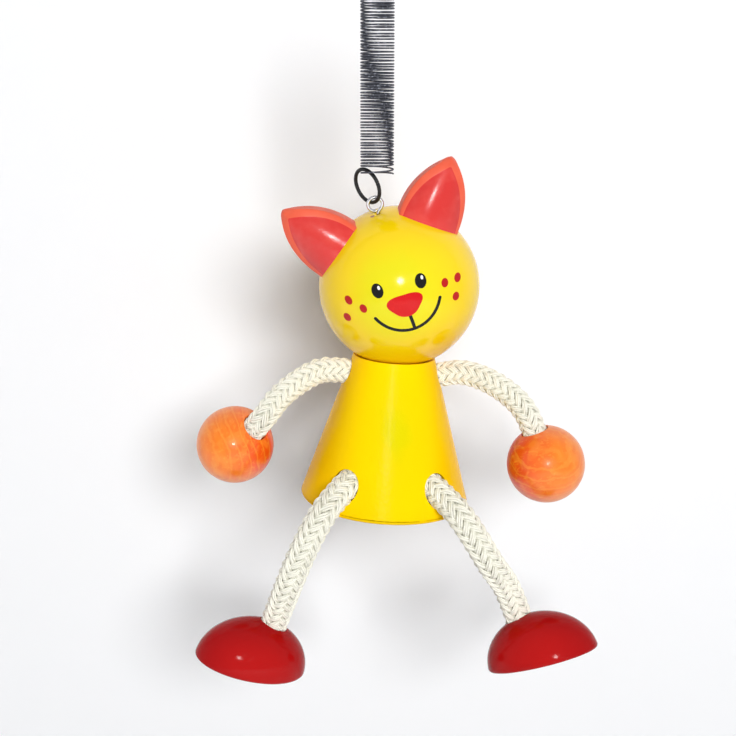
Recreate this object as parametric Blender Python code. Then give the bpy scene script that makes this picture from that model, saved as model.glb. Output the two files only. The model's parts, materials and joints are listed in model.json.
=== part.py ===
"""A wooden cat that bounces on a coil spring.

The toy hangs by a wire ring from the world's origin, and its spring runs down from there. A link
ring and a screw eye carry the ball head. A short neck cord holds the cone body under the head,
and four cotton cords carry the ball hands and the half-egg feet. +Z is up, and the face looks
along -Y. Every piece is placed from the piece that carries it, down from the hanging ring.
"""

from math import asin, atan, cos, pi, radians, sin, sqrt

import bmesh
import bpy
import numpy as np
from mathutils import Matrix, Vector

CLEARANCE = 0.0003  # between pieces that touch

# Wire rings
RING_WIRE = 0.00095
RING_RADIUS = 0.0047  # to the middle of the wire
LINK_LEAN = radians(22.5)  # sideways lean of the link ring
LINK_TURN = radians(52.6)  # how far the link ring turns out of the frontal plane

# Coil spring
SPRING_WIRE = 0.00035
SPRING_RADIUS = 0.00427  # to the middle of the wire
SPRING_PITCH = 0.000765
SPRING_TURNS = 57
SPRING_TAIL = 0.45  # turns past each hook point
TAIL_RISE = 0.0001  # rise along a tail
POINTS_PER_TURN = 9
HOOK_ANGLE = radians(160)  # where the rings hook on, seen from above
LEAST_SELF_GAP = 0.0004

# Screw eye
EYE_WIRE = 0.0008
EYE_RADIUS = 0.001975  # to the middle of the wire
SHANK_RADIUS = 0.0006
SHANK_LENGTH = 0.009  # below the ball's surface

# Head
HEAD_RADIUS = 0.0225
HEAD_ROLL = radians(-16.2)  # the crown leans to the viewer's left
HEAD_NOD = radians(14.5)  # the face looks down

# Ears
LEFT_EAR_SPREAD = radians(39.6)  # from the crown to the ear's middle
RIGHT_EAR_SPREAD = radians(36.8)
EAR_HALF_WIDTH = 0.0086
EAR_HEIGHT = 0.0170  # above the ball
EAR_BACK = 0.0029  # how far its flat back lies behind the middle of the ball
EAR_FRONT = 0.0065  # how far its rounded front stands before the middle, at the ball
EAR_FRONT_AT_TIP = 0.0015
EAR_CONE = 0.0107  # radius of the cone that its front is turned to, at the ball
EAR_EDGE = 0.0013  # rounding of its back edges
EAR_ROOT = 0.005  # depth that the blank reaches into the ball before it is cut
DOWEL_RADIUS = 0.0015
DOWEL_DEPTH = 0.005  # in the ear, and the same in the head

# Body
BODY_HEIGHT = 0.0424
RIM_RADIUS = 0.0112
RIM_WIDTH = 0.0004
BASE_RADIUS = 0.0245
BASE_EDGE = 0.001
BODY_ROLL = radians(3.8)
BODY_YAW = radians(3.75)

# Neck cord
NECK_RADIUS = 0.0018
NECK_DEPTH = 0.006  # in the head, and the same in the body

# Limb cords
CORD_RADIUS = 0.0036
CORD_IN_BODY = 0.0075
CORD_IN_HAND = 0.0065
CORD_IN_FOOT = 0.007
SHOULDER_DROP = 0.0052  # below the rim
SHOULDER_TILT = radians(14)  # the inner end of the bore is the lower one
HIP_RISE = 0.0095  # above the base
HIP_ANGLE = radians(36)  # from straight ahead
HIP_TILT = radians(-34)  # the inner end of the bore is the higher one
ROUTE_STEP = 0.003

# Each limb's route from its mouth in the body, as offsets that were chosen by eye, and the
# direction in which it enters the hand or the foot
LEFT_ARM = [(-0.0072, -0.001, 0.0002), (-0.0136, -0.0034, -0.0025), (-0.0188, -0.0062, -0.0064)]
LEFT_ARM += [(-0.0227, -0.0084, -0.0110), (-0.0255, -0.0071, -0.0147)]
LEFT_ARM_END = (-0.634, 0.451, -0.628)
RIGHT_ARM = [(0.0062, -0.001, 0.0011), (0.0131, -0.003, -0.0005), (0.0194, -0.0052, -0.0041)]
RIGHT_ARM += [(0.0240, -0.0072, -0.0086), (0.0268, -0.0080, -0.0141)]
RIGHT_ARM_END = (0.335, -0.05, -0.94)
LEFT_LEG = [(-0.0057, -0.0064, -0.0062), (-0.0109, -0.0082, -0.0156), (-0.0149, -0.0072, -0.025)]
LEFT_LEG += [(-0.0180, -0.0040, -0.0340), (-0.0202, -0.0020, -0.0405)]
RIGHT_LEG = [(0.0052, -0.0062, -0.0050), (0.0099, -0.0084, -0.0114), (0.0145, -0.0080, -0.0192)]
RIGHT_LEG += [(0.0194, -0.0036, -0.0278), (0.0235, -0.0020, -0.0379)]

# Hands
HAND_RADIUS = 0.011

# Feet
FOOT_LENGTH = 0.0322
FOOT_WIDTH = 0.0228
FOOT_HEIGHT = 0.0132
FOOT_TAPER = 0.05  # share by which the heel is wider, and the toe narrower, than the middle
FOOT_EDGE = 0.0008
FOOT_ROLL = radians(17)  # the toe is held up
FOOT_TURN = radians(18)  # the toe is turned to the viewer
LEFT_FOOT_PITCH = 0  # how far the foot tips away from the viewer, below 0
RIGHT_FOOT_PITCH = radians(-17)
FOOT_BORE_BACK = 0.0039  # from the middle of the foot towards the heel
FOOT_BORE_AWAY = 0.0012  # from the middle of the foot towards the back of the toy

# Facets: steps round a ball, ring or cone and, as the second of a pair, from pole to pole
RING_STEPS = 28
EYE_STEPS = 20
WIRE_SIDES = 8
HEAD_STEPS = (36, 22)
HAND_STEPS = (24, 16)
FOOT_STEPS = (28, 18)
CONE_STEPS = 40
ARCH_STEPS = 10
DISH_STEPS = 5
EDGE_STEPS = 4
CORD_BORE_SIDES = 20
PIN_SIDES = 16
SHANK_SIDES = 12
WIRE_RESOLUTION = 1
CORD_RESOLUTION = 2
EAR_EDGE_STEPS = 3
SOLE_EDGE_STEPS = 2
SMOOTH_BELOW = radians(40)
EAR_EDGE_ABOVE = radians(35)
SOLE_EDGE_ABOVE = radians(60)
WELD = 1e-7

UP = Vector((0, 0, 1))
EMPTY_SIZE = 0.01


def clear_scene():
    for obj in list(bpy.data.objects):
        bpy.data.objects.remove(obj)


def make_material(name, colour, roughness, metallic=0.0):
    material = bpy.data.materials.new(name)
    material.use_nodes = True
    shader = material.node_tree.nodes["Principled BSDF"]
    shader.inputs["Base Color"].default_value = (*colour, 1)
    shader.inputs["Roughness"].default_value = roughness
    shader.inputs["Metallic"].default_value = metallic
    material.diffuse_color = (*colour, 1)
    return material


def turned(*axes):
    """The rotation matrix of a list of (angle, axis) pairs, the last of which is made first."""
    matrix = Matrix.Identity(4)
    for angle, axis in axes:
        matrix = matrix @ Matrix.Rotation(angle, 4, axis)
    return matrix


def along(start, direction):
    """A frame at start whose Z runs along direction."""
    return Matrix.Translation(start) @ UP.rotation_difference(direction).to_matrix().to_4x4()


def joint_empty(name, point):
    empty = bpy.data.objects.new(name, None)
    empty.location = point
    empty.empty_display_size = EMPTY_SIZE
    bpy.context.scene.collection.objects.link(empty)
    return empty


def add_object(name, data, frame, joint=None, material=None):
    """Links an object whose frame is given in the world, under its joint's empty."""
    obj = bpy.data.objects.new(name, data)
    bpy.context.scene.collection.objects.link(obj)
    if material:
        data.materials.append(material)
    if joint:
        obj.parent = joint
        obj.matrix_local = Matrix.Translation(-joint.location) @ frame
    else:
        obj.matrix_local = frame
    return obj


def mesh_of(name, bm):
    bmesh.ops.recalc_face_normals(bm, faces=bm.faces)
    mesh = bpy.data.meshes.new(name)
    bm.to_mesh(mesh)
    bm.free()
    mesh.shade_smooth()
    mesh.set_sharp_from_angle(angle=SMOOTH_BELOW)
    return mesh


def spun(outline, steps, name, joined=False):
    """An outline of (radius, height) points turned about Z. It starts and ends on the axis, or
    else its ends are joined."""
    bm = bmesh.new()
    points = [bm.verts.new((r, 0, z)) for r, z in outline]
    edges = [bm.edges.new((a, b)) for a, b in zip(points, points[1:])]
    if joined:
        edges.append(bm.edges.new((points[-1], points[0])))
    bmesh.ops.spin(
        bm,
        geom=points + edges,
        cent=(0, 0, 0),
        axis=(0, 0, 1),
        angle=2 * pi,
        steps=steps,
        use_merge=True,
    )
    bmesh.ops.remove_doubles(bm, verts=bm.verts, dist=WELD)
    return mesh_of(name, bm)


def ring_mesh(name, radius, wire, steps):
    """A ring of round wire in the XZ plane."""
    outline = []
    for n in range(WIRE_SIDES):
        angle = 2 * pi * n / WIRE_SIDES
        outline.append((radius + wire / 2 * cos(angle), wire / 2 * sin(angle)))
    mesh = spun(outline, steps, name, joined=True)
    mesh.transform(Matrix.Rotation(pi / 2, 4, "X"))
    return mesh


def rod_mesh(name, radius, length, sides):
    """A round rod from the origin along Z."""
    bm = bmesh.new()
    bmesh.ops.create_cone(
        bm,
        cap_ends=True,
        segments=sides,
        radius1=radius,
        radius2=radius,
        depth=length,
        matrix=Matrix.Translation((0, 0, length / 2)),
    )
    return mesh_of(name, bm)


def ball_mesh(name, steps, radius):
    bm = bmesh.new()
    bmesh.ops.create_uvsphere(bm, u_segments=steps[0], v_segments=steps[1], radius=radius)
    return mesh_of(name, bm)


def combine(obj, name, mesh, frame, operation="DIFFERENCE"):
    """Cuts a hidden mesh out of obj, or joins it on."""
    cutter = add_object(name, mesh, frame)
    cutter.hide_render = True
    cutter.display_type = "WIRE"
    cut = obj.modifiers.new(name, "BOOLEAN")
    cut.operation = operation
    cut.solver = "EXACT"
    cut.object = cutter


def bore(obj, name, start, direction, radius, length, sides=CORD_BORE_SIDES):
    """Drills a round hole in obj from start along direction."""
    combine(obj, name, rod_mesh(name, radius, length, sides), along(start, direction))


def tube(name, points, radius, resolution, origin, material, joint):
    """A tube with flat ends along the points, which are in the world."""
    curve = bpy.data.curves.new(name, "CURVE")
    curve.dimensions = "3D"
    curve.bevel_depth = radius
    curve.bevel_resolution = resolution
    curve.use_fill_caps = True
    spline = curve.splines.new("POLY")
    spline.points.add(len(points) - 1)
    for slot, point in zip(spline.points, points):
        slot.co = (*(Vector(point) - origin), 1)
    spline.use_smooth = True
    return add_object(name, curve, Matrix.Translation(origin), joint, material)


def smooth_route(points, step):
    """Points a step apart on a smooth curve through the points given."""
    padded = [2 * points[0] - points[1], *points, 2 * points[-1] - points[-2]]
    found = [points[0]]
    for before, start, end, after in zip(padded, padded[1:], padded[2:], padded[3:]):
        count = max(1, round((end - start).length / step))
        for n in range(1, count + 1):
            t = n / count
            slope_in = (end - before) / 2
            slope_out = (after - start) / 2
            point = start * (1 + 2 * t) * (1 - t) ** 2 + end * t * t * (3 - 2 * t)
            point = point + slope_in * t * (1 - t) ** 2 + slope_out * t * t * (t - 1)
            found.append(point)
    return found


clear_scene()

steel = make_material("bright_steel", (0.62, 0.62, 0.64), 0.25, 1.0)
spring_steel = make_material("spring_steel", (0.09, 0.10, 0.12), 0.35, 1.0)
black_wire = make_material("black_wire", (0.01, 0.01, 0.012), 0.4, 0.6)
yellow_head = make_material("yellow_lacquer_head", (0.92, 0.66, 0.01), 0.3)
yellow_body = make_material("yellow_lacquer_body", (0.90, 0.62, 0.01), 0.3)
red_ears = make_material("red_lacquer_ears", (0.70, 0.02, 0.02), 0.3)
red_feet = make_material("red_lacquer_feet", (0.50, 0.005, 0.01), 0.15)
orange_stain = make_material("orange_stain", (0.80, 0.20, 0.02), 0.3)
cotton = make_material("cotton_cord", (0.80, 0.76, 0.66), 0.9)
beech = make_material("beech_dowel", (0.60, 0.42, 0.25), 0.6)

# Hanging ring: it hooks on at the origin, and stands side on to the spring's wire
hang_empty = joint_empty("hang_point", (0, 0, 0))
ring_inner = RING_RADIUS - RING_WIRE / 2
wire_tangent = Vector((-sin(HOOK_ANGLE), cos(HOOK_ANGLE), 0))
ring_turn = wire_tangent.to_2d().angle_signed(Vector((0, 1)))
ring_frame = Matrix.Translation((0, 0, -ring_inner)) @ turned((ring_turn, "Z"))
hanging_ring = ring_mesh("hanging_ring", RING_RADIUS, RING_WIRE, RING_STEPS)
add_object("hanging_ring", hanging_ring, ring_frame, hang_empty, black_wire)

# Spring: its end turns open to let the rings in
hook_offset = ring_inner - SPRING_WIRE / 2 - CLEARANCE
open_pitch = SPRING_WIRE + RING_WIRE + 2 * CLEARANCE
spring_top = Vector((0, 0, -ring_inner - hook_offset))
spring_length = 2 * open_pitch + SPRING_TURNS * SPRING_PITCH
spring_end = spring_top - UP * spring_length
hook_side = Vector((cos(HOOK_ANGLE), sin(HOOK_ANGLE), 0))


def spring_height(turn):
    """Height above the lower hook point, after this many turns from it."""
    last = SPRING_TURNS + 2
    if turn < 0:
        return TAIL_RISE * turn / SPRING_TAIL
    if turn > last:
        return spring_length + TAIL_RISE * (turn - last) / SPRING_TAIL
    opened = min(turn, 1) + max(0, turn - last + 1)
    return open_pitch * opened + SPRING_PITCH * max(0, min(turn, last - 1) - 1)


def spring_points():
    axis = spring_end - hook_side * SPRING_RADIUS
    count = round((SPRING_TURNS + 2 + 2 * SPRING_TAIL) * POINTS_PER_TURN)
    found = []
    for n in range(count + 1):
        turn = n / POINTS_PER_TURN - SPRING_TAIL
        angle = HOOK_ANGLE + 2 * pi * turn
        side = Vector((cos(angle), sin(angle), 0)) * SPRING_RADIUS
        found.append(axis + side + UP * spring_height(turn))
    return found


def least_self_gap(points, radius, skip):
    """The least gap between parts of a tube that are more than skip points apart."""
    line = np.array([tuple(p) for p in points])
    least = np.inf
    for n in range(len(line) - skip):
        away = np.linalg.norm(line[n + skip :] - line[n], axis=1).min()
        least = min(least, away - 2 * radius)
    return least


coil = spring_points()
self_gap = least_self_gap(coil, SPRING_WIRE / 2, POINTS_PER_TURN // 2)
print(f"spring: least gap to itself {1000 * self_gap:.3f} mm, wanted over {1000 * LEAST_SELF_GAP:.1f} mm")
spring_empty = joint_empty("spring_end", spring_end)
tube("spring", coil, SPRING_WIRE / 2, WIRE_RESOLUTION, spring_end, spring_steel, spring_empty)

# Link ring: it hangs in the spring's last turn and leans towards the screw eye
link_down = Vector((sin(LINK_LEAN), 0, -cos(LINK_LEAN)))
link_across = Vector((cos(LINK_LEAN), 0, sin(LINK_LEAN)))
link_side = link_across * cos(LINK_TURN) - Vector((0, 1, 0)) * sin(LINK_TURN)
link_centre = spring_end + link_down * hook_offset
eye_offset = ring_inner - EYE_WIRE / 2 - CLEARANCE
eye_hook = link_centre + link_down * eye_offset
link_axes = Matrix((link_side, link_side.cross(link_down), -link_down)).transposed().to_4x4()
link_frame = Matrix.Translation(link_centre) @ link_axes
link_mesh = ring_mesh("link_ring", RING_RADIUS, RING_WIRE, RING_STEPS)
add_object("link_ring", link_mesh, link_frame, spring_empty, black_wire)

# Screw eye and head: the eye stands on the crown, in the head's frontal plane
head_axes = turned((HEAD_ROLL, "Y"), (HEAD_NOD, "X"))
eye_plane_down = head_axes.inverted() @ link_down
eye_plane_down.y = 0
eye_centre = eye_hook + (head_axes @ eye_plane_down.normalized()) * EYE_RADIUS
eye_height = HEAD_RADIUS + CLEARANCE + EYE_RADIUS + EYE_WIRE / 2
crown = head_axes @ UP
head_centre = eye_centre - crown * eye_height
head_frame = Matrix.Translation(head_centre) @ head_axes
eye_empty = joint_empty("eye_hook", eye_hook)

eye_ring = ring_mesh("screw_eye", EYE_RADIUS, EYE_WIRE, EYE_STEPS)
screw_eye = add_object(
    "screw_eye", eye_ring, head_frame @ Matrix.Translation((0, 0, eye_height)), eye_empty, steel
)
shank_top = HEAD_RADIUS + CLEARANCE + EYE_WIRE / 2
shank_length = SHANK_LENGTH + CLEARANCE + EYE_WIRE / 2
shank = rod_mesh("shank", SHANK_RADIUS, shank_length, SHANK_SIDES)
shank_frame = head_frame @ Matrix.Translation((0, 0, shank_top)) @ turned((pi, "X"))
combine(screw_eye, "shank", shank, shank_frame, "UNION")

head_mesh = ball_mesh("head_ball", HEAD_STEPS, HEAD_RADIUS)
head = add_object("head_ball", head_mesh, head_frame, eye_empty, yellow_head)
bore(
    head,
    "eye_bore",
    head_centre + crown * (HEAD_RADIUS + CLEARANCE),
    -crown,
    SHANK_RADIUS + CLEARANCE,
    SHANK_LENGTH + 2 * CLEARANCE,
    SHANK_SIDES,
)


def ear_outline():
    """Half of the pointed arch, from its root to its tip, as (sideways, outwards) points."""
    radius = (EAR_HALF_WIDTH**2 + EAR_HEIGHT**2) / (2 * EAR_HALF_WIDTH)
    sweep = asin(EAR_HEIGHT / radius)
    points = [(EAR_HALF_WIDTH, HEAD_RADIUS - EAR_ROOT)]
    for n in range(ARCH_STEPS):
        angle = sweep * n / ARCH_STEPS
        aside = EAR_HALF_WIDTH - radius * (1 - cos(angle))
        points.append((aside, HEAD_RADIUS + radius * sin(angle)))
    return points + [(0, HEAD_RADIUS + EAR_HEIGHT)]


def ear_cone(name):
    """The cone that the ear's front is turned to, longer than the ear at both ends."""
    slope = (EAR_FRONT - EAR_FRONT_AT_TIP) / EAR_HEIGHT
    root = HEAD_RADIUS - 2 * EAR_ROOT
    tip = HEAD_RADIUS + EAR_HEIGHT + EAR_ROOT
    wide = EAR_CONE + slope * 2 * EAR_ROOT
    narrow = EAR_CONE - slope * (EAR_HEIGHT + EAR_ROOT)
    return spun([(0, root), (wide, root), (narrow, tip), (0, tip)], CONE_STEPS, name)


def make_ear(name, lean):
    """A plate with rounded edges and a conical front, hollowed at its root to sit on the ball."""
    half = ear_outline()
    outline = half + [(-x, z) for x, z in reversed(half[:-1])]
    blank_front = EAR_FRONT + EAR_EDGE
    bm = bmesh.new()
    front = bm.faces.new([bm.verts.new((x, -blank_front, z)) for x, z in outline])
    made = bmesh.ops.extrude_face_region(bm, geom=[front])
    back = [v for v in made["geom"] if isinstance(v, bmesh.types.BMVert)]
    bmesh.ops.translate(bm, verts=back, vec=(0, blank_front + EAR_BACK, 0))
    frame = head_frame @ turned((lean, "Y"))
    ear = add_object(name, mesh_of(name, bm), frame, eye_empty, red_ears)
    rounding = ear.modifiers.new("rounded_edges", "BEVEL")
    rounding.width = EAR_EDGE
    rounding.segments = EAR_EDGE_STEPS
    rounding.angle_limit = EAR_EDGE_ABOVE
    cone_frame = frame @ Matrix.Translation((0, EAR_CONE - EAR_FRONT, 0))
    combine(ear, name + "_cone", ear_cone(name + "_cone"), cone_frame, "INTERSECT")
    seat = ball_mesh(name + "_seat", HEAD_STEPS, HEAD_RADIUS + CLEARANCE)
    combine(ear, name + "_seat", seat, head_frame)
    out = frame.to_3x3() @ UP
    middle = head_centre + out * HEAD_RADIUS
    hole = DOWEL_RADIUS + CLEARANCE
    deep = DOWEL_DEPTH + CLEARANCE
    for bored, way in ((ear, out), (head, -out)):
        start = middle - way * deep
        bore(bored, f"{name}_bore_{bored.name}", start, way, hole, 2 * deep, PIN_SIDES)
    dowel = rod_mesh(name + "_dowel", DOWEL_RADIUS, 2 * DOWEL_DEPTH, PIN_SIDES)
    pin_frame = along(middle - out * DOWEL_DEPTH, out)
    add_object(name + "_dowel", dowel, pin_frame, eye_empty, beech)


make_ear("left_ear", -LEFT_EAR_SPREAD)
make_ear("right_ear", RIGHT_EAR_SPREAD)

# Body: a turned cone whose top is dished to carry the ball
dish_radius = HEAD_RADIUS + CLEARANCE
rim_below = sqrt(dish_radius**2 - RIM_RADIUS**2)
body_axes = turned((BODY_ROLL, "Y"), (BODY_YAW, "Z"))
body_up = body_axes @ UP
body_frame = Matrix.Translation(head_centre - body_up * (rim_below + BODY_HEIGHT)) @ body_axes
neck_empty = joint_empty("neck", head_centre)
rim_outer = RIM_RADIUS + RIM_WIDTH
side_slope = (BASE_RADIUS - rim_outer) / BODY_HEIGHT


def side_radius(height):
    """Radius of the cone's side at a height above the base."""
    return BASE_RADIUS - side_slope * height


def body_outline():
    sweep = asin(RIM_RADIUS / dish_radius)
    centre = BODY_HEIGHT + rim_below
    points = []
    for n in range(DISH_STEPS + 1):
        angle = sweep * n / DISH_STEPS
        points.append((dish_radius * sin(angle), centre - dish_radius * cos(angle)))
    points.append((rim_outer, BODY_HEIGHT))
    lean = atan(side_slope)
    middle = (side_radius(BASE_EDGE) - BASE_EDGE / cos(lean), BASE_EDGE)
    for n in range(EDGE_STEPS + 1):
        angle = lean - (lean + pi / 2) * n / EDGE_STEPS
        edge_x = middle[0] + BASE_EDGE * cos(angle)
        points.append((edge_x, middle[1] + BASE_EDGE * sin(angle)))
    return points + [(0, 0)]


body_mesh = spun(body_outline(), CONE_STEPS, "body_cone")
body = add_object("body_cone", body_mesh, body_frame, neck_empty, yellow_body)

# Neck cord: glued into both, and slack enough to let the ball roll in its dish
neck_hole = NECK_RADIUS + CLEARANCE
neck_top = head_centre - body_up * (HEAD_RADIUS - NECK_DEPTH)
neck_length = 2 * NECK_DEPTH + CLEARANCE
neck_bore_length = neck_length + 2 * CLEARANCE
neck_start = neck_top + body_up * CLEARANCE
for bored in (head, body):
    name = "neck_bore_" + bored.name
    bore(bored, name, neck_start, -body_up, neck_hole, neck_bore_length, PIN_SIDES)
neck_points = [neck_top, neck_top - body_up * neck_length]
tube("neck_cord", neck_points, NECK_RADIUS, CORD_RESOLUTION, head_centre, cotton, neck_empty)


def limb(name, angle, height, tilt, offsets):
    """Bores the body for a cord, at an angle from +X. It gives the cord's inner end and its route,
    from the mouth of that bore to the mouth in the hand or the foot."""
    out = Vector((cos(angle), sin(angle), 0))
    mouth = body_frame @ (out * side_radius(height) + UP * height)
    out_tilted = (body_axes @ (out * cos(tilt) + UP * sin(tilt))).normalized()
    inner = mouth - out_tilted * CORD_IN_BODY
    bore_length = CORD_IN_BODY + CLEARANCE + 2 * CORD_RADIUS
    start = inner - out_tilted * CLEARANCE
    bore(body, name + "_bore", start, out_tilted, CORD_RADIUS + CLEARANCE, bore_length)
    return inner, [mouth] + [mouth + Vector(offset) for offset in offsets]


def limb_cord(name, route, inner, end, depth, joint):
    points = [inner] + smooth_route(route, ROUTE_STEP) + [route[-1] + end * depth]
    tube(name, points, CORD_RADIUS, CORD_RESOLUTION, route[0], cotton, joint)


# Arms and hands
def make_arm(side, angle, offsets, end):
    height = BODY_HEIGHT - SHOULDER_DROP
    cord_name = side + "_arm_cord"
    inner, route = limb(cord_name, angle, height, SHOULDER_TILT, offsets)
    end = Vector(end).normalized()
    shoulder = joint_empty(side + "_shoulder", route[0])
    limb_cord(cord_name, route, inner, end, CORD_IN_HAND, shoulder)
    hole = CORD_RADIUS + CLEARANCE
    centre = route[-1] + end * sqrt(HAND_RADIUS**2 - hole**2)
    mesh = ball_mesh(side + "_hand", HAND_STEPS, HAND_RADIUS)
    elbow = joint_empty(side + "_elbow", route[len(route) // 2])
    hand = add_object(side + "_hand", mesh, along(centre, -end), elbow, orange_stain)
    start = route[-1] - end * HAND_RADIUS
    bore(hand, side + "_hand_bore", start, end, hole, HAND_RADIUS + CORD_IN_HAND + CLEARANCE)


make_arm("left", pi, LEFT_ARM, LEFT_ARM_END)
make_arm("right", 0, RIGHT_ARM, RIGHT_ARM_END)


# Legs and feet
def foot_mesh(name, side):
    """Half an egg on its flat sole. Its heel is at +X on the left foot."""
    bm = bmesh.new()
    bmesh.ops.create_uvsphere(bm, u_segments=FOOT_STEPS[0], v_segments=FOOT_STEPS[1], radius=1)
    whole = bm.verts[:] + bm.edges[:] + bm.faces[:]
    cut = bmesh.ops.bisect_plane(bm, geom=whole, plane_no=-UP, clear_outer=True)
    rim = [e for e in cut["geom_cut"] if isinstance(e, bmesh.types.BMEdge)]
    bmesh.ops.edgeloop_fill(bm, edges=rim)
    for v in bm.verts:
        wider = 1 - side * FOOT_TAPER * v.co.x
        v.co.x *= FOOT_LENGTH / 2
        v.co.y *= FOOT_WIDTH / 2 * wider
        v.co.z *= FOOT_HEIGHT
    return mesh_of(name, bm)


def dome_height(x, y, side):
    """Height of the foot over its sole, at a place measured from the middle of the sole."""
    share = 2 * x / FOOT_LENGTH
    wide = FOOT_WIDTH / 2 * (1 - side * FOOT_TAPER * share)
    return FOOT_HEIGHT * sqrt(1 - share**2 - (y / wide) ** 2)


def make_leg(side_name, side, offsets, pitch):
    turn = -pi / 2 + side * HIP_ANGLE
    cord_name = side_name + "_leg_cord"
    foot_axes = turned((-side * FOOT_ROLL, "Y"), (pitch, "X"), (-side * FOOT_TURN, "Z"))
    end = foot_axes @ -UP
    inner, route = limb(cord_name, turn, HIP_RISE, HIP_TILT, offsets)
    hip = joint_empty(side_name + "_hip", route[0])
    limb_cord(cord_name, route, inner, end, CORD_IN_FOOT, hip)
    x, y = -side * FOOT_BORE_BACK, FOOT_BORE_AWAY
    entry = Vector((x, y, dome_height(x, y, side)))
    frame = Matrix.Translation(route[-1] - foot_axes @ entry) @ foot_axes
    knee = joint_empty(side_name + "_knee", route[len(route) // 2])
    name = side_name + "_foot"
    foot = add_object(name, foot_mesh(name, side), frame, knee, red_feet)
    edge = foot.modifiers.new("sole_edge", "BEVEL")
    edge.width = FOOT_EDGE
    edge.segments = SOLE_EDGE_STEPS
    edge.angle_limit = SOLE_EDGE_ABOVE
    start = route[-1] - end * FOOT_HEIGHT / 2
    deep = FOOT_HEIGHT / 2 + CORD_IN_FOOT + CLEARANCE
    bore(foot, name + "_bore", start, end, CORD_RADIUS + CLEARANCE, deep)


make_leg("left", -1, LEFT_LEG, LEFT_FOOT_PITCH)
make_leg("right", 1, RIGHT_LEG, RIGHT_FOOT_PITCH)
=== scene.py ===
import json
from math import asin, atan, atan2, cos, pi, radians, sin, sqrt

import bmesh
import bpy
from mathutils import Matrix, Vector


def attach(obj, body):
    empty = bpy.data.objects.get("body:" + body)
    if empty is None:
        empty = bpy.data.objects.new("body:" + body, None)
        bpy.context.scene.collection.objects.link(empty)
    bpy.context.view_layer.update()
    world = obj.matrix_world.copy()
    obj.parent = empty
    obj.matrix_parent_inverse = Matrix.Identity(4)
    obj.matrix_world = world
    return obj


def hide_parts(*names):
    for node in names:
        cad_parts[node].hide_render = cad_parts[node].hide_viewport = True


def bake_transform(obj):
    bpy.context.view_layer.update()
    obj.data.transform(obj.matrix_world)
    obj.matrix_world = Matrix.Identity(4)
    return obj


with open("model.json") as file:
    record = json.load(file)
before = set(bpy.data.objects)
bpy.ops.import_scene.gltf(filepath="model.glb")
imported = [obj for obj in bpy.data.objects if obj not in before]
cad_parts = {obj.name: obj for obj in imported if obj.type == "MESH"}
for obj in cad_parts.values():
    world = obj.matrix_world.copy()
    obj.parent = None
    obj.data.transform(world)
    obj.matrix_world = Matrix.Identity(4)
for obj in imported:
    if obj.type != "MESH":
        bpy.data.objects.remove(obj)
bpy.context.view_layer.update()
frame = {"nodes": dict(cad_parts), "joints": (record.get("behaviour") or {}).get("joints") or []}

bpy.context.scene.view_settings.view_transform = "Standard"
joints = {joint["name"]: joint for joint in frame["joints"]}


def joint_at(name):
    return Vector(joints[name]["pos_m"])


# Camera
# It stands a forearm's length from the toy, level with the middle of the spring, and looks down
# a little: the spring's turns show edge on, and the feet are seen from above.
CAMERA_AT = (0.00158, -0.3164, -0.0333)
CAMERA_DOWN = radians(13.5)
SENSOR = 36
FOCAL = 1165 / 736 * SENSOR


def new_object(name, data):
    made = bpy.data.objects.new(name, data)
    bpy.context.scene.collection.objects.link(made)
    return made


camera_data = bpy.data.cameras.new("camera")
camera_data.sensor_width = SENSOR
camera_data.lens = FOCAL
camera_data.clip_start = 0.01
camera = new_object("camera", camera_data)
camera.location = CAMERA_AT
camera.rotation_euler = (pi / 2 - CAMERA_DOWN, 0, 0)
bpy.context.scene.camera = camera


# Hanging ring
# A jump ring of black annealed wire in the spring's top turn, by which the toy hangs on a hook.
# It is cut from a coil, so it closes with a hairline joint.
RING_WIRE = 0.00095
RING_RADIUS = 0.0047  # to the middle of the wire
RING_JOINT = 0.00005
RING_STEPS = 96
WIRE_SIDES = 16
HOOK_ANGLE = radians(160)  # where the rings hook on, seen from above
BLACK = (0.006, 0.006, 0.007, 1)
BLACK_RUBBED = (0.03, 0.03, 0.03, 1)
SHARP = radians(35)
WELD = 1e-7


class Value:
    """A shader socket in a sum: + - and * on it add Math nodes."""

    def __init__(self, nodes, socket):
        self.nodes = nodes
        self.socket = socket

    def maths(self, operation, first, second):
        return self.nodes.node("Math", {"operation": operation}, {0: first, 1: second})

    def __add__(self, other):
        return self.maths("ADD", self, other)

    __radd__ = __add__

    def __sub__(self, other):
        return self.maths("SUBTRACT", self, other)

    def __rsub__(self, other):
        return self.maths("SUBTRACT", other, self)

    def __mul__(self, other):
        return self.maths("MULTIPLY", self, other)

    __rmul__ = __mul__


class Nodes:
    """The shader nodes of a material or of the world."""

    def __init__(self, tree):
        self.tree = tree

    def feed(self, node, sockets):
        for name, value in sockets.items():
            name = name.replace("_", " ") if isinstance(name, str) else name
            if isinstance(value, Value):
                self.tree.links.new(value.socket, node.inputs[name])
            else:
                node.inputs[name].default_value = value

    def node(self, kind, settings={}, sockets={}, output=0):
        made = self.tree.nodes.new("ShaderNode" + kind)
        for name, value in settings.items():
            setattr(made, name, value)
        self.feed(made, sockets)
        return Value(self, made.outputs[output])


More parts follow.
